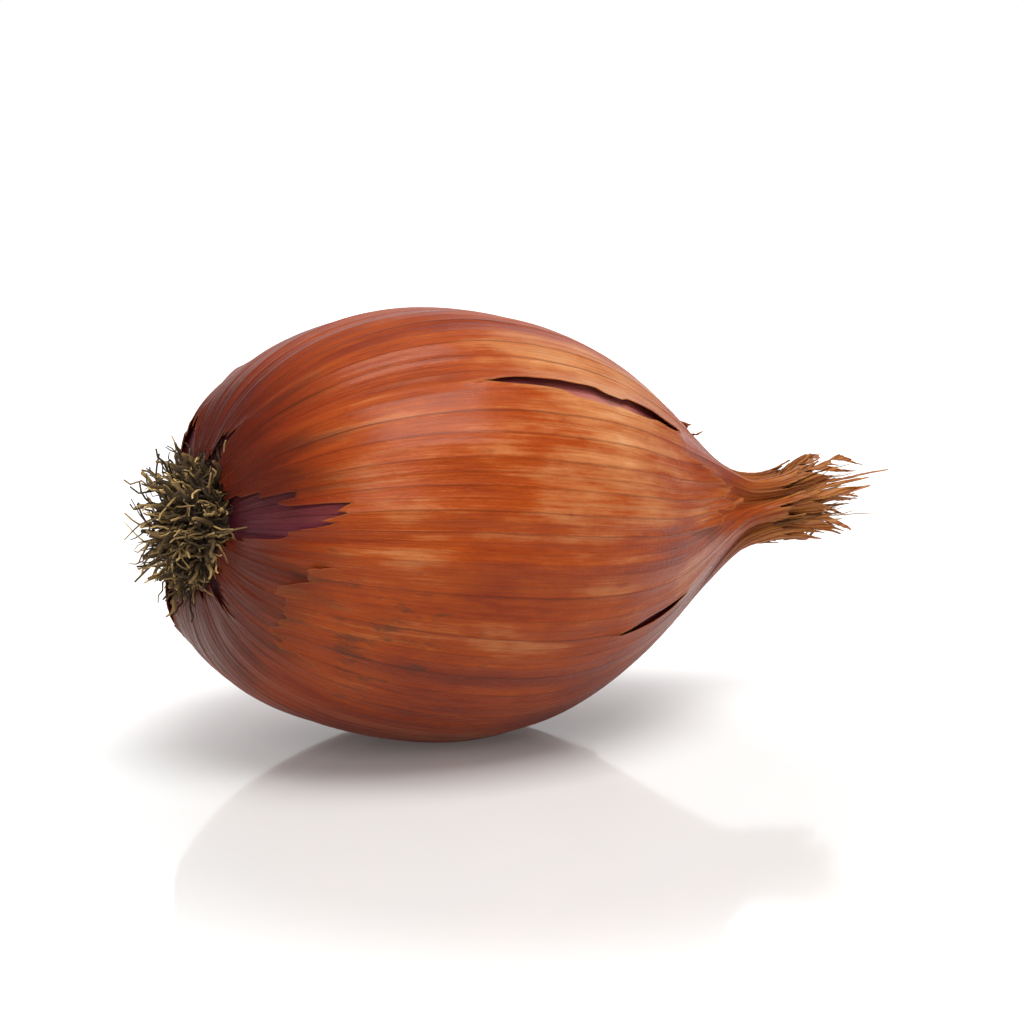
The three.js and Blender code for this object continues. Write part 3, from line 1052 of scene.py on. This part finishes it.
def tongue(name, form, slot, rise, flutter, stand, curl, shreds, dryness, columns, rows):
    """A thin tongue of skin with a ragged outline. shreds is the share of its length that its end is torn."""
    coords, quads = grid(np.linspace(0, 1, columns), np.linspace(0, 1, rows))
    u, v = coords.T
    width = form.spread / 5.8
    torn_end = 0.5 + 0.5 * stepped(u * width + form.angle, 0.7, 1.6)
    torn_end = torn_end + 0.25 * rough_noise(column(u * width * 3, form.angle, 0.5), 96, 3)
    end = 1 - TONGUE_MARGIN - shreds * np.clip(torn_end, 0, 1.3)
    frayed = 1 + rough_noise(column(np.sign(u - 0.5) * 4, form.angle, v * 6), 97, 3)
    side = 0.5 - TONGUE_MARGIN - 0.06 * frayed * v
    coords, faces = clipped(coords, quads, np.minimum(end - v, side - np.abs(u - 0.5)))

    def attributes_at(u, v):
        turn, height, _ = tongue_form(form, u, v)
        values = skin_attributes(turn, arc_at(height))
        return values | {"dry": np.clip(values["dry"] + dryness * smoothstep(v, 0.4, 1.0), 0, 1)}

    def tongue_stand(u, v, clear):
        return curl * v**5 + 0.12 * np.exp(-clear / 0.5) * v

    place = tongue_place(form, rise, flutter, stand)
    thin_shell(name, coords, faces, place, tongue_stand, attributes_at, outer_material, slot)


def inner_sheath_form():
    """A sheath of the dried neck, drawn at random."""
    return Form(
        angle=rng.uniform(0, 360),
        spread=rng.uniform(40, 90),
        start=rng.uniform(47.5, 51),
        end=rng.uniform(55, 58.5),
        lift=rng.uniform(-0.6, 1.2),
        taper=rng.uniform(0.5, 0.85),
        twist=rng.uniform(10, 60),
    )


SHEATH = dict(rise=sheath_rise, flutter=0.5, stand=0.08, curl=0, shreds=0.5, dryness=0.6, columns=56, rows=44)
INNER = dict(rise=sheath_rise, flutter=0.4, stand=-0.3, curl=0, shreds=0.55, dryness=0.8, columns=36, rows=32)
FLAKE = dict(rise=flake_rise, flutter=0.3, stand=0.12, curl=0.9, shreds=0.2, dryness=0.2, columns=84, rows=72)

for number, form in enumerate(SHEATHS):
    tongue(f"neck_sheath_{number + 1}", form, "dry_neck", **SHEATH)
for number in range(INNER_SHEATH_COUNT):
    tongue(f"inner_sheath_{number + 1}", inner_sheath_form(), "dry_neck", **INNER)
for number, form in enumerate(FLAKES):
    tongue(f"skin_flake_{number + 1}", form, "shallot_skin", **FLAKE)


def neck_fibres():
    """Strands of the dried sheaths' veins that stand out of the torn neck."""
    for i in range(FIBRE_COUNT):
        angle, out = rng.uniform(-math.pi, math.pi), rng.uniform(0.25, 1.0)
        steps = np.linspace(0, 1, FIBRE_STEPS)
        height = mix(NECK_TOP - 3, NECK_TOP + rng.uniform(0.5, 5.0), steps)
        spread = NECK_RADIUS * out + rng.uniform(-0.6, 1.6) * steps**2
        sway = 0.5 * rough_noise(column(steps * 2.2, 0.5, i * 3.1), 98, 3) * steps
        turn = angle + rng.uniform(-0.2, 0.5) * steps + sway / 2
        radii = np.linspace(rng.uniform(0.07, 0.13), 0.035, FIBRE_STEPS)
        yield laid(turn, height, spread + sway), radii, rng.uniform(0.35, 1.1)


tubes("neck_fibres", list(neck_fibres()), neck_fibre, "dry_neck", sides=5)

# ---- The stage, in metres ----

CAMERA_AZIMUTH = math.radians(-30)
CAMERA_ELEVATION = math.radians(11)
LENS = 90
DISTANCE = 0.212
MIDDLE = np.array((CAD_BOX[0] + CAD_BOX[1]) / 2)
AWAY = np.array([-math.sin(CAMERA_AZIMUTH), math.cos(CAMERA_AZIMUTH), 0])  # level, from the camera
BACK = np.array([0, 0, math.sin(CAMERA_ELEVATION)]) - AWAY * math.cos(CAMERA_ELEVATION)  # to the camera

FLOOR_HALF = 12.0
FLOOR_WHITE = "d3d2d0"
FLOOR_DULL = (-0.012, -0.021, 0)  # the place in front of the object where the floor glows least
BACKDROP_EDGE = (0.72, 0.90)  # cosines of the angles from its middle where it starts and where it is white
BACKDROP_SIDES = 0.22  # brightness beside it
SOFTBOXES = [  # name, place, side and power
    ("top_softbox", (0.00, -0.22, 0.80), 0.56, 8.2),
    ("front_softbox", (-0.42, -0.70, 0.60), 0.50, 3.0),
]


def softbox(name, place, side, power):
    """A square, soft light that faces the object."""
    light = bpy.data.lights.new(name, "AREA")
    light.shape = "SQUARE"
    light.size = side
    light.energy = power
    lamp = bpy.data.objects.new(name, light)
    lamp.location = place
    lamp.rotation_euler = Vector(MIDDLE - place).to_track_quat("-Z", "Y").to_euler()
    bpy.context.scene.collection.objects.link(lamp)


def pale_floor():
    """A glossy white table that glows, and more so further out, to run into the white background."""
    mesh = bpy.data.meshes.new("floor")
    corners = [(x * FLOOR_HALF, y * FLOOR_HALF, 0) for x, y in ((-1, -1), (1, -1), (1, 1), (-1, 1))]
    mesh.from_pydata(corners, [], [(0, 1, 2, 3)])
    s = Surface("floor", Specular_IOR_Level=0.4, Emission_Color=(1, 1, 1, 1))
    place = s.node("ShaderNodeTexCoord").outputs["Object"]
    out = s.vector_math("DISTANCE", place, FLOOR_DULL)
    glow = s.math("ADD", s.range(out, 0.022, 0.050, 0.06, 0.50), s.range(out, 0.10, 0.60, 0.0, 0.60))
    s.feed(s.shader.inputs["Emission Strength"], glow)
    mesh.materials.append(s.finish(colour(FLOOR_WHITE), 0.08))
    floor = bpy.data.objects.new("floor", mesh)
    bpy.context.scene.collection.objects.link(floor)


def studio():
    """White to the camera. It lights the object as a white backdrop behind it and dimmer walls all round."""
    world = bpy.data.worlds.new("studio")
    world.use_nodes = True
    nodes, links = world.node_tree.nodes, world.node_tree.links
    facing = nodes.new("ShaderNodeVectorMath")
    facing.operation = "DOT_PRODUCT"
    facing.inputs[1].default_value = AWAY
    links.new(nodes.new("ShaderNodeTexCoord").outputs["Generated"], facing.inputs[0])
    backdrop = nodes.new("ShaderNodeMapRange")
    for key, number in zip(("From Min", "From Max", "To Min"), (*BACKDROP_EDGE, BACKDROP_SIDES)):
        backdrop.inputs[key].default_value = number
    links.new(facing.outputs["Value"], backdrop.inputs["Value"])
    strength = nodes.new("ShaderNodeMath")
    strength.operation = "MAXIMUM"
    links.new(backdrop.outputs["Result"], strength.inputs[0])
    links.new(nodes.new("ShaderNodeLightPath").outputs["Is Camera Ray"], strength.inputs[1])
    background = nodes["Background"]
    background.inputs["Color"].default_value = (1, 1, 1, 1)
    links.new(strength.outputs[0], background.inputs["Strength"])
    bpy.context.scene.world = world


def camera():
    lens = bpy.data.cameras.new("camera")
    lens.lens = LENS
    lens.clip_start = 0.01
    view = bpy.data.objects.new("camera", lens)
    view.location = MIDDLE + BACK * DISTANCE
    view.rotation_euler = Vector(-BACK).to_track_quat("-Z", "Y").to_euler()
    bpy.context.scene.collection.objects.link(view)
    bpy.context.scene.camera = view


pale_floor()
studio()
for box in SOFTBOXES:
    softbox(*box)
camera()
bpy.context.scene.view_settings.view_transform = "Standard"
